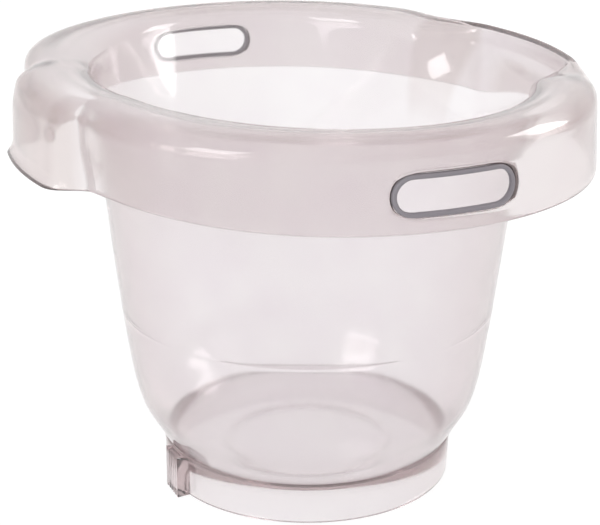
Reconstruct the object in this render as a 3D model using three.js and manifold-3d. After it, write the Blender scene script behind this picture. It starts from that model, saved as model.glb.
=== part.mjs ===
// Baby bathtub of the bucket kind: an oval tub with a broad rolled brim and a hanging skirt,
// standing on a round foot ring, with a soft ring lining each of its two grip slots.
// Millimetres, +Z up. The origin is on the floor plane, at the centre of the foot ring.
// The grips are at +X and -X, the pouring spout is at +Y and the flat boss is at -Y.
import * as THREE from 'three';
import { mergeVertices } from 'three/addons/utils/BufferGeometryUtils.js';
import Module from 'manifold-3d';

const wasm = await Module();
wasm.setup();

// driving dimensions of the tub
const wall = 3;
const around = 96;
// outside of the bowl, as [mean radius, height], from the middle of the floor up to the brim
const bowlOutside = [
  [0, 14], [74, 14.2], [90, 17.4], [99.6, 23.6], [106.9, 32], [113, 43], [122, 58],
  [127.7, 79], [131.9, 105], [138, 147], [146, 200], [150.8, 226], [155.9, 252], [165.5, 296],
];
const bowlOval = 18.3;
const bowlSquareness = 2.6;
const shoulderHeight = 296;
const floorBeadRadius = 60;
const floorBeadHeight = 1.3;

// brim and skirt
const brimTop = 308.5;
const skirtRadius = 202.3;
const skirtOval = 28.8;
const skirtSquareness = -3.3;
const skirtBottom = 250;
const skirtDraft = 0.04;
const sideFlare = 18;
const sideFlareSpread = 30;
const bossReach = 17;
const bossFlat = 14;
const bossEdge = 20.5;
const shoulderSwell = 12;
const lipFlare = 5;
const lipHeight = 8;

// pouring spout
const spoutReach = 31;
const spoutStart = 198;
const spoutInnerDip = 6;
const spoutOuterDip = 1.5;

// grip slots and their soft rings
const slotHeight = 273.8;
const slotLength = 83.2;
const slotWidth = 27.2;
const ringWidth = 3;
const ringProud = 0.8;
const fitGap = 0.3;

// foot ring
const footRadius = 105;
const footTopRadius = 106.4;
const footWall = 4;
const footTop = 31.4;
const lugWidth = 24;
const lugProud = 6.5;
const lugMiddle = 12.5;

const degrees = (radians) => THREE.MathUtils.radToDeg(radians);
const smooth = (value, low, high) => THREE.MathUtils.smoothstep(value, low, high);
const mix = THREE.MathUtils.lerp;

// angle from the middle of the spout, and from the middle of the flat boss, in degrees
function fromSpout(angle) {
  return Math.abs(degrees(Math.atan2(Math.sin(angle - Math.PI / 2), Math.cos(angle - Math.PI / 2))));
}
function fromFlat(angle) {
  return Math.abs(degrees(Math.atan2(Math.sin(angle + Math.PI / 2), Math.cos(angle + Math.PI / 2))));
}

// the bowl is round at the foot and becomes oval towards the brim
function ovalShare(height) {
  return Math.pow(THREE.MathUtils.clamp((height - 32) / (shoulderHeight - 32), 0, 1.05), 3.27);
}

// the spout is a wide groove with two slanted sides that leans outwards as it rises
function spoutPush(angle, height) {
  const rise = THREE.MathUtils.clamp((height - spoutStart) / (shoulderHeight - spoutStart), 0, 1);
  const flat = mix(2, 21, rise);
  const edge = mix(38, 35, rise);
  const share = THREE.MathUtils.clamp((edge - fromSpout(angle)) / (edge - flat), 0, 1);
  return spoutReach * Math.pow(rise, 2.2) * share;
}
function bowlPush(angle, height) {
  const share = ovalShare(height);
  return share * (bowlOval * Math.cos(2 * angle) + bowlSquareness * Math.cos(4 * angle))
    + spoutPush(angle, height);
}

// outside of the skirt, with its flared sides, a boss on each of them and a rolled-out lip below it
function skirtOutside(angle, height) {
  const side = Math.min(fromSpout(angle), fromFlat(angle));
  const flare = sideFlare * Math.exp(-Math.pow(side / sideFlareSpread, 2));
  // the flat boss runs up to the brim, and the one under the spout dies out below it
  const underSpout = fromSpout(angle) < 90;
  const bossTop = underSpout ? 1 - smooth(height, 262, 290) : 1 - 0.15 * smooth(height, 284, 300);
  const bossShare = 1 - smooth(side, bossFlat, bossEdge);
  // the brim swells out beside the flat boss
  const swell = shoulderSwell * Math.exp(-Math.pow((fromFlat(angle) - 42) / 24, 2))
    * (1 - bossShare) * smooth(height, 250, 290);
  const lip = THREE.MathUtils.clamp((skirtBottom + lipHeight - height) / lipHeight, 0, 1);
  return skirtRadius + skirtOval * Math.cos(2 * angle) + skirtSquareness * Math.cos(4 * angle)
    + flare + bossReach * bossShare * bossTop + swell + lipFlare * lip * lip * bossShare
    - skirtDraft * (height - skirtBottom);
}

// the brim sinks at the spout, more on the side of the bowl (0) than at its outer edge (1)
function dipped(angle, height, across) {
  const inner = spoutInnerDip * (1 - smooth(fromSpout(angle), 33, 44));
  const outer = spoutOuterDip * (1 - smooth(fromSpout(angle), 28, 46));
  return height - mix(inner, outer, across) * smooth(height, 255, 300);
}

// a station of the wall section gives the point of the section at any angle round the tub
function bowlStation(radius, height) {
  return (angle) => [radius + bowlPush(angle, height), dipped(angle, height, 0)];
}
function skirtStation(inset, height) {
  return (angle) => [skirtOutside(angle, height) - inset, dipped(angle, height, 1)];
}
// across is 0 at the inside of the bowl and 1 at the outside of the skirt
function brimStation(across, height, inset) {
  return (angle) => {
    const inner = bowlOutside.at(-1)[0] - wall + bowlPush(angle, shoulderHeight) + inset;
    const outer = skirtOutside(angle, shoulderHeight) - inset;
    return [mix(inner, outer, across), dipped(angle, height, across)];
  };
}

// points one wall thickness inside the outside of the bowl
function offsetSection(section, distance) {
  const inside = [];
  for (let index = 0; index < section.length; index++) {
    const before = section[Math.max(index - 1, 0)];
    const after = section[Math.min(index + 1, section.length - 1)];
    const along = new THREE.Vector2(after[0] - before[0], after[1] - before[1]).normalize();
    inside.push([section[index][0] - along.y * distance, section[index][1] + along.x * distance]);
  }
  inside[0][0] = 0;
  return inside;
}

const stations = [];
const bowlInside = offsetSection(bowlOutside, wall);
const floorHeight = bowlInside[0][1];
for (const [radius, height] of bowlInside) {
  stations.push(bowlStation(radius, height));
  if (radius === 0) {
    // a low bead runs round the floor
    stations.push(bowlStation(floorBeadRadius - 4, floorHeight));
    stations.push(bowlStation(floorBeadRadius - 1.5, floorHeight + floorBeadHeight));
    stations.push(bowlStation(floorBeadRadius + 1.5, floorHeight + floorBeadHeight));
    stations.push(bowlStation(floorBeadRadius + 4, floorHeight));
  }
}
// over the brim
for (const turn of [25, 50, 75]) {
  const angle = THREE.MathUtils.degToRad(turn);
  stations.push(brimStation(0.3 * (1 - Math.cos(angle)), 296 + 11.2 * Math.sin(angle), 0));
}
stations.push(brimStation(0.36, 308, 0));
stations.push(brimStation(0.52, brimTop, 0));
for (const turn of [8, 30, 52, 74]) {
  const angle = THREE.MathUtils.degToRad(turn);
  stations.push(brimStation(0.62 + 0.38 * Math.sin(angle), 295.5 + 12.8 * Math.cos(angle), 0));
}
// down the outside of the skirt and up its inside
for (const height of [288, 274, 262, 255, 252]) {
  stations.push(skirtStation(0, height));
}
stations.push(skirtStation(0.7, skirtBottom));
stations.push(skirtStation(2.3, skirtBottom));
for (const height of [252, 255, 262, 274, 288]) {
  stations.push(skirtStation(wall, height));
}
// back under the brim
for (const turn of [70, 30]) {
  const angle = THREE.MathUtils.degToRad(turn);
  stations.push(brimStation(0.62 + 0.38 * Math.sin(angle), 293.5 + 11.5 * Math.cos(angle), wall));
}
stations.push(brimStation(0.45, 305.4, wall));
for (const turn of [65, 30]) {
  const angle = THREE.MathUtils.degToRad(turn);
  stations.push(brimStation(0.3 * (1 - Math.cos(angle)), 294 + 10.5 * Math.sin(angle), wall));
}
for (const [radius, height] of bowlOutside.slice().reverse()) {
  stations.push(bowlStation(radius, height));
}

// turn a section given by stations round the axis
function turnStations(list, segments) {
  const straight = list.map((station) => new THREE.Vector2(...station(0)));
  const geometry = new THREE.LatheGeometry(straight, segments);
  const position = geometry.attributes.position;
  for (let index = 0; index < position.count; index++) {
    const turn = Math.floor(index / list.length) % segments;
    const angle = (turn / segments) * 2 * Math.PI;
    const [radius, height] = list[index % list.length](angle);
    position.setXYZ(index, radius * Math.cos(angle), radius * Math.sin(angle), height);
  }
  return geometry;
}

// join shared corners and leave out the empty triangles on the axis
function welded(source) {
  const bare = source.clone();
  bare.deleteAttribute('normal');
  bare.deleteAttribute('uv');
  const joined = mergeVertices(bare, 1e-4);
  const kept = [];
  for (let index = 0; index < joined.index.count; index += 3) {
    const [a, b, c] = [0, 1, 2].map((corner) => joined.index.getX(index + corner));
    if (a !== b && b !== c && c !== a) kept.push(a, b, c);
  }
  joined.setIndex(kept);
  return joined;
}

function toManifold(geometry) {
  const joined = welded(geometry);
  return new wasm.Manifold(new wasm.Mesh({
    numProp: 3,
    vertProperties: new Float32Array(joined.attributes.position.array),
    triVerts: new Uint32Array(joined.index.array),
  }));
}

function fromManifold(solid) {
  const { vertProperties, triVerts } = solid.getMesh();
  const geometry = new THREE.BufferGeometry();
  geometry.setAttribute('position', new THREE.BufferAttribute(vertProperties, 3));
  geometry.setIndex(new THREE.BufferAttribute(triVerts, 1));
  geometry.computeVertexNormals();
  return geometry;
}

function flipped(geometry) {
  const index = geometry.index;
  for (let corner = 0; corner < index.count; corner += 3) {
    const first = index.getX(corner);
    index.setX(corner, index.getX(corner + 1));
    index.setX(corner + 1, first);
  }
  return geometry;
}

// stadium outline lying in the YZ plane once it has been stood up
function stadium(length, width) {
  const half = (length - width) / 2;
  const outline = new THREE.Shape();
  outline.moveTo(-half, -width / 2);
  outline.lineTo(half, -width / 2);
  outline.absarc(half, 0, width / 2, -Math.PI / 2, Math.PI / 2, false);
  outline.lineTo(-half, width / 2);
  outline.absarc(-half, 0, width / 2, Math.PI / 2, 1.5 * Math.PI, false);
  return outline;
}
// X becomes +Y, Y becomes +Z and the depth runs along +X
function stoodUp(geometry) {
  return geometry.rotateX(Math.PI / 2).rotateZ(Math.PI / 2);
}

const shell = toManifold(flipped(turnStations(stations, around)));
const slotShape = new THREE.ExtrudeGeometry(stadium(slotLength, slotWidth), {
  depth: 60, bevelEnabled: false, curveSegments: 10,
});
stoodUp(slotShape);
const frontCut = toManifold(slotShape.clone().translate(196, 0, slotHeight));
const backCut = toManifold(slotShape.clone().translate(-256, 0, slotHeight));
const tubShell = shell.subtract(frontCut).subtract(backCut);

// how far the skirt lies behind its grip middle, at a distance to the side and a height
function skirtDepth(side, height) {
  let depth = skirtOutside(0, height);
  for (let pass = 0; pass < 6; pass++) {
    depth = Math.sqrt(Math.pow(skirtOutside(Math.atan2(side, depth), height), 2) - side * side);
  }
  return depth;
}

// point and outward direction on a stadium line at a share of its length
function stadiumPoint(share, length, width) {
  const radius = width / 2;
  const straight = length - width;
  const bend = Math.PI * radius;
  let run = share * 2 * (straight + bend);
  const lengths = [straight, bend, straight, bend];
  let part = 0;
  while (part < 3 && run > lengths[part]) {
    run -= lengths[part];
    part += 1;
  }
  if (part === 0) return [run - straight / 2, -radius, 0, -1];
  if (part === 2) return [straight / 2 - run, radius, 0, 1];
  const turn = run / radius + (part === 1 ? -Math.PI / 2 : Math.PI / 2);
  const end = part === 1 ? straight / 2 : -straight / 2;
  return [end + radius * Math.cos(turn), radius * Math.sin(turn), Math.cos(turn), Math.sin(turn)];
}

// a grip ring is a torus drawn out to a stadium, squared in section and bent to follow the skirt
function gripRing(runSegments, sectionSegments) {
  const geometry = new THREE.TorusGeometry(10, 1, sectionSegments, runSegments);
  const position = geometry.attributes.position;
  const halfWidth = ringWidth / 2;
  const halfDepth = wall / 2 + ringProud;
  const middleLength = slotLength - 2 * fitGap - ringWidth;
  const middleWidth = slotWidth - 2 * fitGap - ringWidth;
  for (let index = 0; index < position.count; index++) {
    const run = (index % (runSegments + 1)) % runSegments;
    const turn = (Math.floor(index / (runSegments + 1)) % sectionSegments) / sectionSegments;
    const angle = 2 * Math.PI * turn;
    const across = halfWidth * THREE.MathUtils.clamp(1.35 * Math.cos(angle), -1, 1);
    const deep = halfDepth * THREE.MathUtils.clamp(1.2 * Math.sin(angle), -1, 1);
    const [side, rise, sideways, upwards] =
      stadiumPoint(run / runSegments, middleLength, middleWidth);
    const y = side + across * sideways;
    const z = slotHeight + rise + across * upwards;
    position.setXYZ(index, skirtDepth(y, z) - wall / 2 + deep, y, z);
  }
  return geometry;
}

// the foot ring is a plain ring, later cut to follow the underside of the bowl
const footSection = [
  [footRadius - footWall, 0.8], [footRadius - footWall + 0.8, 0], [footRadius - 0.8, 0],
  [footRadius, 0.8], [footTopRadius, footTop - 0.6], [footTopRadius - 0.5, footTop],
  [footRadius - footWall, footTop],
].map(([radius, height]) => () => [radius, height]);
footSection.push(footSection[0]);
// the bowl with a fitting gap round it, used to cut the foot ring
const bowlBottom = bowlOutside.filter(([, height]) => height < 60);
const clearSection = offsetSection(bowlBottom, -fitGap);
clearSection.push([0, clearSection.at(-1)[1]]);
const clearStations = clearSection.map(([radius, height]) => () => [radius, height]);

// a block stands out of the foot ring under the flat boss
function footLug() {
  const outline = new THREE.Shape();
  const half = lugWidth / 2;
  const reach = footRadius + lugProud;
  outline.moveTo(-half, footRadius - 4);
  outline.lineTo(-half, reach - 1.5);
  outline.lineTo(-half + 1.5, reach);
  // shallow upright grooves across its face
  for (const middle of [-6, -2, 2, 6]) {
    outline.lineTo(middle - 0.8, reach);
    outline.lineTo(middle - 0.4, reach - 0.7);
    outline.lineTo(middle + 0.4, reach - 0.7);
    outline.lineTo(middle + 0.8, reach);
  }
  outline.lineTo(half - 1.5, reach);
  outline.lineTo(half, reach - 1.5);
  outline.lineTo(half, footRadius - 4);
  outline.closePath();
  const geometry = new THREE.ExtrudeGeometry(outline, { depth: footTop, bevelEnabled: false });
  return geometry.rotateZ(Math.PI).translate(lugMiddle, 0, 0);
}

const footBody = toManifold(turnStations(footSection, around));
const clearance = toManifold(turnStations(clearStations, around));
const footRing = footBody.add(toManifold(footLug())).subtract(clearance);

const group = new THREE.Group();
group.name = 'baby_bathtub';
const frosted = new THREE.MeshStandardMaterial({ color: 0xe6dcdf, roughness: 0.4 });
const soft = new THREE.MeshStandardMaterial({ color: 0xa5a1a5, roughness: 0.7 });
const pieces = [
  ['tub_shell', fromManifold(tubShell), frosted],
  ['foot_ring', fromManifold(footRing), frosted],
  ['grip_ring_front', gripRing(56, 8), soft],
  ['grip_ring_back', gripRing(56, 8).rotateZ(Math.PI), soft],
];
for (const [name, geometry, material] of pieces) {
  const mesh = new THREE.Mesh(geometry, material);
  mesh.name = name;
  group.add(mesh);
}

export default group;
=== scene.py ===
import math

import bmesh
import bpy
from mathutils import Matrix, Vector


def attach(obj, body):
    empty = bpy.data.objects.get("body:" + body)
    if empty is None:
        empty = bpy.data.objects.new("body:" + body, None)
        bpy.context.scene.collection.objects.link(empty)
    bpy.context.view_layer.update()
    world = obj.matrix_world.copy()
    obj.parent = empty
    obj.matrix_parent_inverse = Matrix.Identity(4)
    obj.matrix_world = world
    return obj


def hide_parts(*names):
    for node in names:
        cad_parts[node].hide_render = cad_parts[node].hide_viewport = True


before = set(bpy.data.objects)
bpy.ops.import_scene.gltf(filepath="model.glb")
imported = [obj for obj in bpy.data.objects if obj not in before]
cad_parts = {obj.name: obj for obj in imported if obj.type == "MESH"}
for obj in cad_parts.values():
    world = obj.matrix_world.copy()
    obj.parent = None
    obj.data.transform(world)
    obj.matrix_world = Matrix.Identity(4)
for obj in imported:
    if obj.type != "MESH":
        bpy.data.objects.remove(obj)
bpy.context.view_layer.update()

print("frame loaded:", ", ".join(sorted(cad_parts)))

# all lengths are in millimetres until a piece is finished
bowl = {
    # outside of the bowl from the middle of its floor to the brim, as mean radius and height
    "outside": [
        (0, 14), (40, 14), (74, 14.2), (84, 15.6), (90, 17.4), (95.2, 20.2), (99.6, 23.6),
        (103.6, 27.6), (106.9, 32), (110, 37.3), (113, 43), (117.8, 50.5), (122, 58),
        (125.2, 68), (127.7, 79), (130, 92), (131.9, 105), (133.8, 117), (135.5, 129.4),
        (138, 147), (140.6, 164), (143.3, 182), (146, 200), (148.4, 213), (150.8, 226),
        (153.3, 239), (155.9, 252), (158.8, 265), (162, 279), (165.5, 296),
    ],
    "oval": 18.3,
    "squareness": 2.6,
    "wall": 3,
    "shoulder": 296,
    "beadRadius": 60,
    "beadHeight": 1.3,
    "lineHeight": 129.4,  # a fine raised level line round the outside
    "lineProud": 0.25,
}
skirt = {
    "radius": 202.3,
    "oval": 28.8,
    "squareness": -3.3,
    "bottom": 250,
    "draft": 0.04,
    "sideFlare": 18,
    "sideFlareSpread": 30,
    "bossReach": 17,
    "bossFlat": 14,
    "bossEdge": 20.5,
    "shoulderSwell": 12,
    "lipFlare": 5,
    "lipHeight": 8,
}
spout = {"reach": 31, "start": 198, "innerDip": 6, "outerDip": 1.5}
slot = {"height": 273.8, "length": 83.2, "width": 27.2, "halfColumns": 5, "facing": 226}
columns = 160  # round the shell, before it is subdivided
columnTurn = 2 * math.pi / columns


def clamp(value, low, high):
    return min(max(value, low), high)


def smooth(value, low, high):
    share = clamp((value - low) / (high - low), 0, 1)
    return share * share * (3 - 2 * share)


def mix(first, second, share):
    return first + (second - first) * share


def besideSpout(angle):  # signed degrees from the middle of the spout
    return math.degrees(math.atan2(math.sin(angle - math.pi / 2), math.cos(angle - math.pi / 2)))


def spoutRise(height):
    return clamp((height - spout["start"]) / (bowl["shoulder"] - spout["start"]), 0, 1)


def spoutEdges(height):  # where the slanted sides of the spout begin and end, in degrees
    rise = spoutRise(height)
    return mix(2, 21, rise), mix(38, 35, rise)


def bowlPush(angle, height):
    share = clamp((height - 32) / (bowl["shoulder"] - 32), 0, 1.05) ** 3.27
    oval = bowl["oval"] * math.cos(2 * angle) + bowl["squareness"] * math.cos(4 * angle)
    flat, edge = spoutEdges(height)
    side = clamp((edge - abs(besideSpout(angle))) / (edge - flat), 0, 1)
    return share * oval + spout["reach"] * spoutRise(height) ** 2.2 * side


def skirtOutside(angle, height):
    fromSpout = abs(besideSpout(angle))
    fromFlat = 180 - fromSpout
    side = min(fromSpout, fromFlat)
    flare = skirt["sideFlare"] * math.exp(-(side / skirt["sideFlareSpread"]) ** 2)
    bossTop = 1 - 0.15 * smooth(height, 284, 300) if fromFlat < 90 else 1 - smooth(height, 262, 290)
    bossShare = 1 - smooth(side, skirt["bossFlat"], skirt["bossEdge"])
    swell = skirt["shoulderSwell"] * math.exp(-((fromFlat - 42) / 24) ** 2)
    swell *= (1 - bossShare) * smooth(height, 250, 290)
    lip = clamp((skirt["bottom"] + skirt["lipHeight"] - height) / skirt["lipHeight"], 0, 1)
    reach = skirt["radius"] + skirt["oval"] * math.cos(2 * angle)
    reach += skirt["squareness"] * math.cos(4 * angle) + flare + swell
    reach += skirt["bossReach"] * bossShare * bossTop + skirt["lipFlare"] * lip * lip * bossShare
    return reach - skirt["draft"] * (height - skirt["bottom"])


def dipped(angle, height, across):  # the brim sinks at the spout
    fromSpout = abs(besideSpout(angle))
    inner = spout["innerDip"] * (1 - smooth(fromSpout, 33, 44))
    outer = spout["outerDip"] * (1 - smooth(fromSpout, 28, 46))
    return height - mix(inner, outer, across) * smooth(height, 255, 300)


def alongSpout(angle, height, across):
    # slides the grid's columns so that some of them run along the edges of the spout's sides
    beside = besideSpout(angle)
    side = abs(beside)
    if side >= 60:
        return angle
    flat, edge = spoutEdges(height)
    if side < 11.25:
        slid = side / 11.25 * flat
    elif side < 36:
        slid = mix(flat, edge, (side - 11.25) / 24.75)
    else:
        slid = mix(edge, 60, (side - 36) / 24)
    slid = mix(side, slid, smooth(height, 190, 235) * (1 - across))
    return math.pi / 2 + math.radians(math.copysign(slid, beside))


def roundSlot(angle, height):
    # draws the grid in round each slot, so that its rows and columns follow the slot's outline
    axis = 0 if math.cos(angle) > 0 else math.pi
    turn = math.atan2(math.sin(angle - axis), math.cos(angle - axis))
    along, up = slot["facing"] * turn, height - slot["height"]
    halfAlong, halfUp = slot["facing"] * slot["halfColumns"] * columnTurn, slot["width"] / 2
    outAlong, outUp = max(abs(along) - halfAlong, 0), max(abs(up) - halfUp, 0)
    pull = (1 - smooth(outAlong, 0, 24)) * (1 - smooth(outUp, 0, 9))
    inside = abs(along) < halfAlong - 0.1 and abs(up) < halfUp - 0.1
    if pull <= 0 or inside:
        return angle, height
    straight = (slot["length"] - slot["width"]) / 2
    foot = clamp(along, -straight, straight)
    away = math.hypot(along - foot, up)
    reach = halfUp + max(outAlong, outUp)
    along = mix(along, foot + (along - foot) / away * reach, pull)
    up = mix(up, up / away * reach, pull)
    return axis + along / slot["facing"], slot["height"] + up


# a station is one point of the wall's section: it gives the place of its point at any angle
def bowlStation(radius, height):
    def place(angle):
        angle = alongSpout(angle, height, 0)
        return radius + bowlPush(angle, height), angle, dipped(angle, height, 0)
    return place


def brimStation(across, height, inset):
    def place(angle):
        angle = alongSpout(angle, bowl["shoulder"], across)
        inner = bowl["outside"][-1][0] - bowl["wall"] + bowlPush(angle, bowl["shoulder"]) + inset
        outer = skirtOutside(angle, bowl["shoulder"]) - inset
        return mix(inner, outer, across), angle, dipped(angle, height, across)
    return place


def skirtStation(inset, height):
    def place(angle):
        angle, moved = roundSlot(angle, height)
        return skirtOutside(angle, moved) - inset, angle, dipped(angle, moved, 1)
    return place


def offsetSection(section, distance):
    inside = []
    for index, (radius, height) in enumerate(section):
        before, after = section[max(index - 1, 0)], section[min(index + 1, len(section) - 1)]
        length = math.hypot(after[0] - before[0], after[1] - before[1])
        alongR, alongH = (after[0] - before[0]) / length, (after[1] - before[1]) / length
        inside.append((max(radius - alongH * distance, 0), height + alongR * distance))
    return inside


def shellStations():
    stations, slotRows = [], []
    inside = offsetSection(bowl["outside"], bowl["wall"])
    floorHeight, bead = inside[0][1], bowl["beadRadius"]
    for radius, height in inside:
        stations.append(bowlStation(radius, height))
        if 30 < radius < 50:  # a low bead runs round the floor
            for across, rise in [(-4, 0), (-2, 0.5), (0, 1), (2, 0.5), (4, 0)]:
                stations.append(bowlStation(bead + across, floorHeight + rise * bowl["beadHeight"]))
    for turn in [12, 25, 38, 51, 64, 77]:  # over the brim
        swing = math.radians(turn)
        stations.append(brimStation(0.3 * (1 - math.cos(swing)), 296 + 11.2 * math.sin(swing), 0))
    for across, height in [(0.31, 307.5), (0.38, 308.1), (0.46, 308.4), (0.54, 308.5)]:
        stations.append(brimStation(across, height, 0))
    for turn in [2, 13, 24, 35, 46, 57, 68, 79]:
        swing = math.radians(turn)
        stations.append(brimStation(0.62 + 0.38 * math.sin(swing), 295.5 + 12.8 * math.cos(swing), 0))
    rows = [292, 287.4, 282.9, 278.3, 273.8, 269.3, 264.7, 260.2, 256.8, 253.8, 251.4]
    for height in rows:  # down the outside of the skirt, round its edge and up its inside
        if abs(height - slot["height"]) < slot["width"] / 2 + 0.1:
            slotRows.append(len(stations))
        stations.append(skirtStation(0, height))
    for inset, height in [(0.45, 250.3), (1.5, 250), (2.55, 250.3)]:
        stations.append(skirtStation(inset, height))
    for height in reversed(rows):
        if abs(height - slot["height"]) < slot["width"] / 2 + 0.1:
            slotRows.append(len(stations))
        stations.append(skirtStation(bowl["wall"], height))
    for turn in [74, 55, 36, 18]:  # back under the brim
        swing = math.radians(turn)
        stations.append(brimStation(0.62 + 0.38 * math.sin(swing), 293.5 + 11.5 * math.cos(swing), 3))
    stations.append(brimStation(0.54, 305.4, 3))
    stations.append(brimStation(0.45, 305.3, 3))
    for turn in [72, 52, 34, 16]:
        swing = math.radians(turn)
        stations.append(brimStation(0.3 * (1 - math.cos(swing)), 294 + 10.5 * math.sin(swing), 3))
    for radius, height in reversed(bowl["outside"]):
        if height == bowl["lineHeight"]:
            for rise, proud in [(1.8, 0), (0.7, 0.35), (0, 1), (-0.7, 0.35), (-1.8, 0)]:
                lineRadius = radius + 0.15 * rise + proud * bowl["lineProud"]
                stations.append(bowlStation(lineRadius, height + rise))
        else:
            stations.append(bowlStation(radius, height))
    return stations, slotRows


def spun(stations, steps, closed):
    # turns a section round the axis, and marks each vertex with its station
    bm = bmesh.new()
    mark = bm.verts.layers.int.new("station")
    line = []
    for index, station in enumerate(stations):
        radius, _, height = station(0)
        line.append(bm.verts.new((radius, 0, height)))
        line[-1][mark] = index
    ends = zip(line, line[1:] + line[:1]) if closed else zip(line, line[1:])
    for first, second in ends:
        bm.edges.new((first, second))
    bmesh.ops.spin(bm, geom=bm.verts[:] + bm.edges[:], cent=(0, 0, 0), axis=(0, 0, 1),
                   angle=2 * math.pi, steps=steps, use_merge=True)
    bmesh.ops.remove_doubles(bm, verts=bm.verts[:], dist=1e-4)
    return bm, mark


def finishPiece(bm, name, replaced, material, levels=0):
    bmesh.ops.scale(bm, vec=(0.001, 0.001, 0.001), verts=bm.verts[:])
    for face in bm.faces:
        face.smooth = True
    mesh = bpy.data.meshes.new(name)
    bm.to_mesh(mesh)
    bm.free()
    piece = bpy.data.objects.new(name, mesh)
    bpy.context.scene.collection.objects.link(piece)
    piece.data.materials.append(material)
    if levels:
        rounding = piece.modifiers.new("rounding", "SUBSURF")
        rounding.levels = rounding.render_levels = levels
    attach(piece, "root")
    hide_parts(replaced)
    print(name, "made with", len(mesh.polygons), "faces")


def makeShell(material):
    stations, slotRows = shellStations()
    bm, mark = spun(stations, columns, False)
    reach = slot["halfColumns"] * columnTurn + 0.01
    rowSet = set(slotRows)
    for axis in (0, math.pi):
        def inSlot(face):
            for vert in face.verts:
                turn = math.atan2(vert.co.y, vert.co.x) - axis
                turn = math.atan2(math.sin(turn), math.cos(turn))
                if vert[mark] not in rowSet or abs(turn) > reach:
                    return False
            return True
        holes = [face for face in bm.faces if inSlot(face)]
        bmesh.ops.delete(bm, geom=holes, context="FACES")
        rim = [edge for edge in bm.edges if edge.is_boundary]
        bmesh.ops.bridge_loops(bm, edges=rim)
    for vert in bm.verts:
        angle = math.atan2(vert.co.y, vert.co.x)
        radius, angle, height = stations[vert[mark]](angle)
        vert.co = (radius * math.cos(angle), radius * math.sin(angle), height)
    bmesh.ops.recalc_face_normals(bm, faces=bm.faces[:])
    finishPiece(bm, "tub_shell_piece", "tub_shell", material, 1)


# foot ring
foot = {
    # outside and bottom of the ring as radius and height; its top follows the bowl, 0.3 clear
    "section": [
        (103.9, 27.2), (101, 24.5), (101, 14), (101, 1), (101.5, 0.25), (102.3, 0), (103.7, 0),
        (104.6, 0.2), (105, 0.9), (105.15, 4), (105.7, 16), (106.2, 27), (106.35, 30.2), (106.1, 30.5),
    ],
    "wallRows": (8, 12),
    "columns": 480,
    "lugStart": 0.5,
    "lugWidth": 24,
    "lugFace": 111.5,
    "lugTop": 31,
    "grooveDepth": 0.7,
}


def makeFoot(material):
    stations = [lambda angle, spot=spot: (spot[0], angle, spot[1]) for spot in foot["section"]]
    bm, mark = spun(stations, foot["columns"], True)
    # the block on the ring: its faces are pulled out of the wall and squared up
    turn = 2 * math.pi / foot["columns"]
    steps = round(math.asin((foot["lugStart"] + foot["lugWidth"]) / 105) / turn)
    low, high = foot["wallRows"]

    def column(vert):
        return (math.atan2(vert.co.y, vert.co.x) + math.pi / 2) / turn

    chosen = []
    for face in bm.faces:
        spans = [column(vert) for vert in face.verts]
        rows = [vert[mark] for vert in face.verts]
        if min(spans) > -0.1 and max(spans) < steps + 0.1 and min(rows) >= low and max(rows) <= high:
            chosen.append(face)
    pulled = bmesh.ops.extrude_face_region(bm, geom=chosen)
    bmesh.ops.delete(bm, geom=chosen, context="FACES")
    for vert in pulled["geom"]:
        if not isinstance(vert, bmesh.types.BMVert):
            continue
        place = round(column(vert))
        groove = foot["grooveDepth"] if place % 3 == 0 and 0 < place < steps else 0
        vert.co.x = foot["lugStart"] + foot["lugWidth"] * place / steps
        vert.co.y = -foot["lugFace"] + groove
        if vert[mark] == low:
            vert.co.z = 0.2
        if vert[mark] == high:
            vert.co.z = foot["lugTop"]
    bmesh.ops.recalc_face_normals(bm, faces=bm.faces[:])
    finishPiece(bm, "foot_ring_piece", "foot_ring", material)


# grip rings
grip = {"width": 3, "proud": 0.8, "gap": 0.3, "runs": 96}


# a point of the slot's outline and the direction out of it, at a share of the way round
def stadiumPoint(share, length, width):
    radius, straight = width / 2, length - width
    bend = math.pi * radius
    run = share * 2 * (straight + bend)
    if run <= straight:
        return run - straight / 2, -radius, 0, -1
    run -= straight
    if bend < run <= bend + straight:
        return straight / 2 - (run - bend), radius, 0, 1
    if run <= bend:
        turn, end = run / radius - math.pi / 2, straight / 2
    else:
        turn, end = (run - bend - straight) / radius + math.pi / 2, -straight / 2
    sideways, upwards = math.cos(turn), math.sin(turn)
    return end + radius * sideways, radius * upwards, sideways, upwards


def skirtDepth(side, height):
    depth = skirtOutside(0, height)
    for _ in range(6):
        depth = math.sqrt(skirtOutside(math.atan2(side, depth), height) ** 2 - side * side)
    return depth


def makeGrip(name, facing, material):
    section = []
    for index in range(16):
        turn = math.radians(22.5 * index)
        across = math.copysign(abs(math.cos(turn)) ** 0.5, math.cos(turn)) * grip["width"] / 2
        halfDepth = bowl["wall"] / 2 + grip["proud"]
        deep = math.copysign(abs(math.sin(turn)) ** 0.6, math.sin(turn)) * halfDepth
        section.append((across, deep))
    stations = [lambda angle, spot=spot: (20 + spot[0], angle, spot[1]) for spot in section]
    bm, mark = spun(stations, grip["runs"], True)
    length = slot["length"] - 2 * grip["gap"] - grip["width"]
    width = slot["width"] - 2 * grip["gap"] - grip["width"]
    for vert in bm.verts:
        across, deep = section[vert[mark]]
        share = (math.atan2(vert.co.y, vert.co.x) / (2 * math.pi)) % 1
        side, rise, sideways, upwards = stadiumPoint(share, length, width)
        y, z = side + across * sideways, slot["height"] + rise + across * upwards
        vert.co = (facing * (skirtDepth(y, z) - bowl["wall"] / 2 + deep), facing * y, z)
    bmesh.ops.recalc_face_normals(bm, faces=bm.faces[:])
    finishPiece(bm, name + "_piece", name, material, 1)


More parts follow.
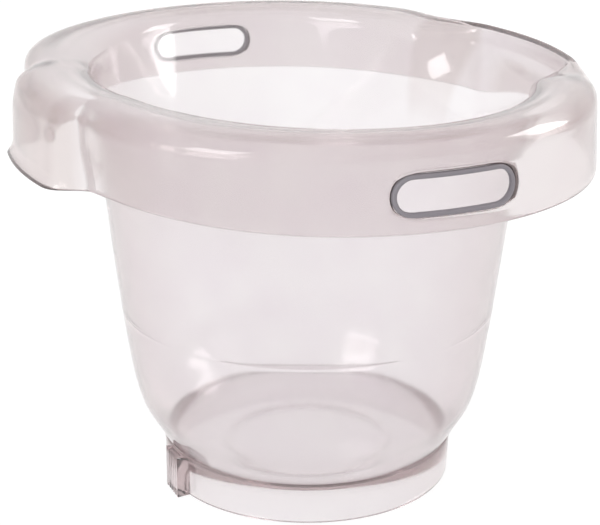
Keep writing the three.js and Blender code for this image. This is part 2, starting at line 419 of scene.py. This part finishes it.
# materials
def linear(code):
    channels = [int(code[place:place + 2], 16) / 255 for place in (0, 2, 4)]
    return [c / 12.92 if c <= 0.04045 else ((c + 0.055) / 1.055) ** 2.4 for c in channels] + [1]


def addNode(tree, kind, settings=None, inputs=None, links=None):
    node = tree.nodes.new(kind)
    for name, value in (settings or {}).items():
        setattr(node, name, value)
    for name, value in (inputs or {}).items():
        node.inputs[name].default_value = value
    for name, output in (links or {}).items():
        tree.links.new(output, node.inputs[name])
    return node


def startMaterial(name):
    material = bpy.data.materials.new(name)
    material.use_nodes = True
    tree = material.node_tree
    tree.nodes.clear()
    place = addNode(tree, "ShaderNodeTexCoord")
    return material, tree, place.outputs["Object"]


def endMaterial(tree, shader):
    addNode(tree, "ShaderNodeOutputMaterial", links={"Surface": shader.outputs[0]})


frostedLook = {
    # mottle and grain are in millimetres: real frosting is finer, and is drawn this coarse to show
    # skirtFrom, endsFrom and spoutFrom are in metres, and spoutSides in degrees from the spout
    # the matt and edge colours are painted shade: one darkens the skirt, its ends and the spout's
    # slanted sides, the other the wall where it is seen at a slant
    "pale": "FFFFFF", "deep": "FAF7FA", "edge": "ECE6E5", "matt": "F5F2F1", "roughness": (0.06, 0.11),
    "ior": 1.49, "clear": 0.93, "absorbed": "D4C0C0", "density": 46, "mottle": 30, "grain": 0.9,
    "skirtFrom": (0.186, 0.198), "endsFrom": (0.155, 0.19),
    "spoutSides": (19.5, 22, 34, 36.5), "spoutFrom": (0.225, 0.262), "slantFrom": (0.25, 0.9),
    "waveDepth": 0.0004, "skinDepth": 0.00005,
}


def ramp(tree, value, low, high, start=0.0, end=1.0):
    limits = {"From Min": low, "From Max": high, "To Min": start, "To Max": end}
    return addNode(tree, "ShaderNodeMapRange", inputs=limits, links={"Value": value}).outputs[0]


def joined(tree, operation, *values):
    node = addNode(tree, "ShaderNodeMath", {"operation": operation})
    for place, value in enumerate(values):
        tree.links.new(value, node.inputs[place])
    return node.outputs[0]


def frostedPlastic(name, look):
    # frosted polypropylene, injection moulded: light passes with a soft blur and a faint lilac
    # tint, long paths through the wall look darker, and the skin has a satin gloss with flow waves;
    # the colour also holds painted shade on the skirt, its ends, the spout's slanted sides and where
    # the wall is seen at a slant
    material, tree, place = startMaterial(name)
    mottle = addNode(tree, "ShaderNodeTexNoise", links={"Vector": place},
                     inputs={"Scale": 1000 / look["mottle"], "Detail": 2.0})
    tint = addNode(tree, "ShaderNodeMix", {"data_type": "RGBA"},
                   links={"Factor": mottle.outputs["Fac"]})
    tint.inputs[6].default_value = linear(look["pale"])
    tint.inputs[7].default_value = linear(look["deep"])
    # painted shade: the colour is darkened on the skirt and on the slanted sides of the spout
    spot = addNode(tree, "ShaderNodeSeparateXYZ", links={0: place})
    flat = addNode(tree, "ShaderNodeCombineXYZ", links={0: spot.outputs[0], 1: spot.outputs[1]})
    reach = addNode(tree, "ShaderNodeVectorMath", {"operation": "LENGTH"}, links={0: flat.outputs[0]})
    skirtShadeShare = ramp(tree, reach.outputs["Value"], *look["skirtFrom"])
    turn = joined(tree, "ABSOLUTE", joined(tree, "ARCTAN2", spot.outputs[0], spot.outputs[1]))
    inFrom, inTo, outFrom, outTo = [math.radians(angle) for angle in look["spoutSides"]]
    spoutSideShadeShare = joined(tree, "MULTIPLY", ramp(tree, turn, inFrom, inTo),
                       ramp(tree, turn, outFrom, outTo, 1.0, 0.0))
    spoutSideShadeShare = joined(tree, "MULTIPLY", spoutSideShadeShare, ramp(tree, spot.outputs[2], *look["spoutFrom"]))
    shadedSkirt = addNode(tree, "ShaderNodeMix", {"data_type": "RGBA", "blend_type": "MULTIPLY"},
                     links={0: joined(tree, "MAXIMUM", skirtShadeShare, spoutSideShadeShare), 6: tint.outputs[2]})
    shadedSkirt.inputs[7].default_value = linear(look["matt"])
    # the painted shade is darkest at the two flared ends of the skirt
    endwards = addNode(tree, "ShaderNodeMath", {"operation": "ABSOLUTE"}, links={0: spot.outputs[1]})
    endShadeShare = joined(tree, "MULTIPLY", skirtShadeShare, ramp(tree, endwards.outputs[0], *look["endsFrom"]))
    ends = addNode(tree, "ShaderNodeMix", {"data_type": "RGBA", "blend_type": "MULTIPLY"},
                   links={0: endShadeShare, 6: shadedSkirt.outputs[2]})
    ends.inputs[7].default_value = linear(look["matt"])
    # painted shade: the colour darkens where the wall is seen at a slant, standing in for the longer
    # path through the frost
    slant = addNode(tree, "ShaderNodeLayerWeight", inputs={"Blend": 0.5})
    slantShaded = addNode(tree, "ShaderNodeMix", {"data_type": "RGBA", "blend_type": "MULTIPLY"},
                    links={0: ramp(tree, slant.outputs["Facing"], *look["slantFrom"]),
                           6: ends.outputs[2]})
    slantShaded.inputs[7].default_value = linear(look["edge"])
    grain = addNode(tree, "ShaderNodeTexNoise", inputs={"Scale": 1000 / look["grain"], "Detail": 2.0},
                    links={"Vector": place})
    rough = ramp(tree, grain.outputs["Fac"], 0, 1, *look["roughness"])
    wave = addNode(tree, "ShaderNodeBump", inputs={"Strength": 0.15, "Distance": look["waveDepth"]},
                   links={"Height": mottle.outputs["Fac"]})
    skin = addNode(tree, "ShaderNodeBump", inputs={"Strength": 0.1, "Distance": look["skinDepth"]},
                   links={"Height": grain.outputs["Fac"], "Normal": wave.outputs[0]})
    shader = addNode(tree, "ShaderNodeBsdfPrincipled",
                     inputs={"IOR": look["ior"], "Transmission Weight": look["clear"]},
                     links={"Base Color": slantShaded.outputs[2], "Roughness": rough,
                            "Normal": skin.outputs[0]})
    body = addNode(tree, "ShaderNodeVolumeAbsorption",
                   inputs={"Color": linear(look["absorbed"]), "Density": look["density"]})
    addNode(tree, "ShaderNodeOutputMaterial",
            links={"Surface": shader.outputs[0], "Volume": body.outputs[0]})
    return material


rubberLook = {"low": "7C787E", "high": "8A868C", "roughness": (0.5, 0.65), "ior": 1.5,
              "grain": 0.8, "skinDepth": 0.0001}


def softRubber(name, look):
    # moulded thermoplastic rubber, grey: matt, with a fine even grain and slightly paler high spots
    material, tree, place = startMaterial(name)
    grain = addNode(tree, "ShaderNodeTexNoise", inputs={"Scale": 1000 / look["grain"], "Detail": 3.0},
                    links={"Vector": place})
    tint = addNode(tree, "ShaderNodeMix", {"data_type": "RGBA"},
                   links={"Factor": grain.outputs["Fac"]})
    tint.inputs[6].default_value = linear(look["low"])
    tint.inputs[7].default_value = linear(look["high"])
    rough = ramp(tree, grain.outputs["Fac"], 0, 1, *look["roughness"])
    skin = addNode(tree, "ShaderNodeBump", inputs={"Strength": 0.2, "Distance": look["skinDepth"]},
                   links={"Height": grain.outputs["Fac"]})
    shader = addNode(tree, "ShaderNodeBsdfPrincipled", inputs={"IOR": look["ior"]},
                     links={"Base Color": tint.outputs[2], "Roughness": rough,
                            "Normal": skin.outputs[0]})
    endMaterial(tree, shader)
    return material


footLook = dict(frostedLook, density=58)
shellMaterial = frostedPlastic("frosted polypropylene", frostedLook)
footMaterial = frostedPlastic("frosted polypropylene of the foot", footLook)
gripMaterial = softRubber("grey soft rubber", rubberLook)
makeShell(shellMaterial)
makeFoot(footMaterial)
makeGrip("grip_ring_front", 1, gripMaterial)
makeGrip("grip_ring_back", -1, gripMaterial)
print("pieces done")

# floor, light and camera
studio = {
    "floor": "595959", "floorGlow": 0.92, "floorSize": 30, "floorDrop": 0.0002,
    "world": 1.0, "dim": "C8BCB8", "dimSide": (0.6, 0.8, 0), "dimFrom": 0.1, "dimTo": 0.9,
    "clearBounces": 32, "glossBounces": 16,
    # place of each lamp, the point it looks at, its size and its watts
    "lamps": {
        "left softbox": ((0.6, -1.6, 1.5), (0, 0, 0.2), (0.9, 0.9), 14),
        "right softbox": ((0.35, 1.75, 1.2), (0, 0, 0.25), (0.9, 0.9), 14),
    },
}
floorMesh = bmesh.new()
bmesh.ops.create_grid(floorMesh, x_segments=1, y_segments=1, size=studio["floorSize"] / 2)
floorData = bpy.data.meshes.new("floor")
floorMesh.to_mesh(floorData)
floorMesh.free()
floor = bpy.data.objects.new("floor", floorData)
bpy.context.scene.collection.objects.link(floor)
floor.location.z = -studio["floorDrop"]
floorMaterial, tree, place = startMaterial("white table")
matt = addNode(tree, "ShaderNodeBsdfPrincipled",
               inputs={"Base Color": linear(studio["floor"]), "Roughness": 1,
                       "Emission Color": (1, 1, 1, 1), "Emission Strength": studio["floorGlow"]})
endMaterial(tree, matt)
floor.data.materials.append(floorMaterial)

world = bpy.data.worlds.new("studio")
bpy.context.scene.world = world
world.use_nodes = True
sky = world.node_tree
sky.nodes.clear()
direction = addNode(sky, "ShaderNodeTexCoord")
# the room is darker and warmer on the right of the camera
aside = addNode(sky, "ShaderNodeVectorMath", {"operation": "DOT_PRODUCT"},
                links={0: direction.outputs["Generated"]})
aside.inputs[1].default_value = studio["dimSide"]
share = ramp(sky, aside.outputs["Value"], studio["dimFrom"], studio["dimTo"])
tone = addNode(sky, "ShaderNodeMix", {"data_type": "RGBA"}, links={"Factor": share})
tone.inputs[6].default_value = (1, 1, 1, 1)
tone.inputs[7].default_value = linear(studio["dim"])
glow = addNode(sky, "ShaderNodeBackground", inputs={"Strength": studio["world"]},
               links={"Color": tone.outputs[2]})
addNode(sky, "ShaderNodeOutputWorld", links={"Surface": glow.outputs[0]})


def softbox(name, spot, aim, size, watts):
    data = bpy.data.lights.new(name, "AREA")
    data.shape = "RECTANGLE"
    data.size, data.size_y = size
    data.energy = watts
    lamp = bpy.data.objects.new(name, data)
    lamp.location = spot
    bpy.context.scene.collection.objects.link(lamp)
    towards = [end - start for end, start in zip(aim, spot)]
    lamp.rotation_euler = Vector(towards).to_track_quat("-Z", "Y").to_euler()


for name, setting in studio["lamps"].items():
    softbox(name, *setting)

camera = {"place": (1.0993, -0.4691, 0.5767), "pitch": 0.34176, "heading": 67.145, "lens": 104.75,
          "shiftUp": 0.01038}
cameraData = bpy.data.cameras.new("camera")
cameraData.lens = camera["lens"]
cameraData.shift_y = camera["shiftUp"]
cameraObject = bpy.data.objects.new("camera", cameraData)
cameraObject.location = camera["place"]
cameraObject.rotation_euler = (math.pi / 2 - camera["pitch"], 0, math.radians(camera["heading"]))
bpy.context.scene.collection.objects.link(cameraObject)
bpy.context.scene.camera = cameraObject
bpy.context.scene.view_settings.view_transform = "Standard"
# light crosses many clear walls in the rolled brim before it comes out
bpy.context.scene.cycles.max_bounces = studio["clearBounces"]
bpy.context.scene.cycles.transmission_bounces = studio["clearBounces"]
bpy.context.scene.cycles.glossy_bounces = studio["glossBounces"]
print("studio done")
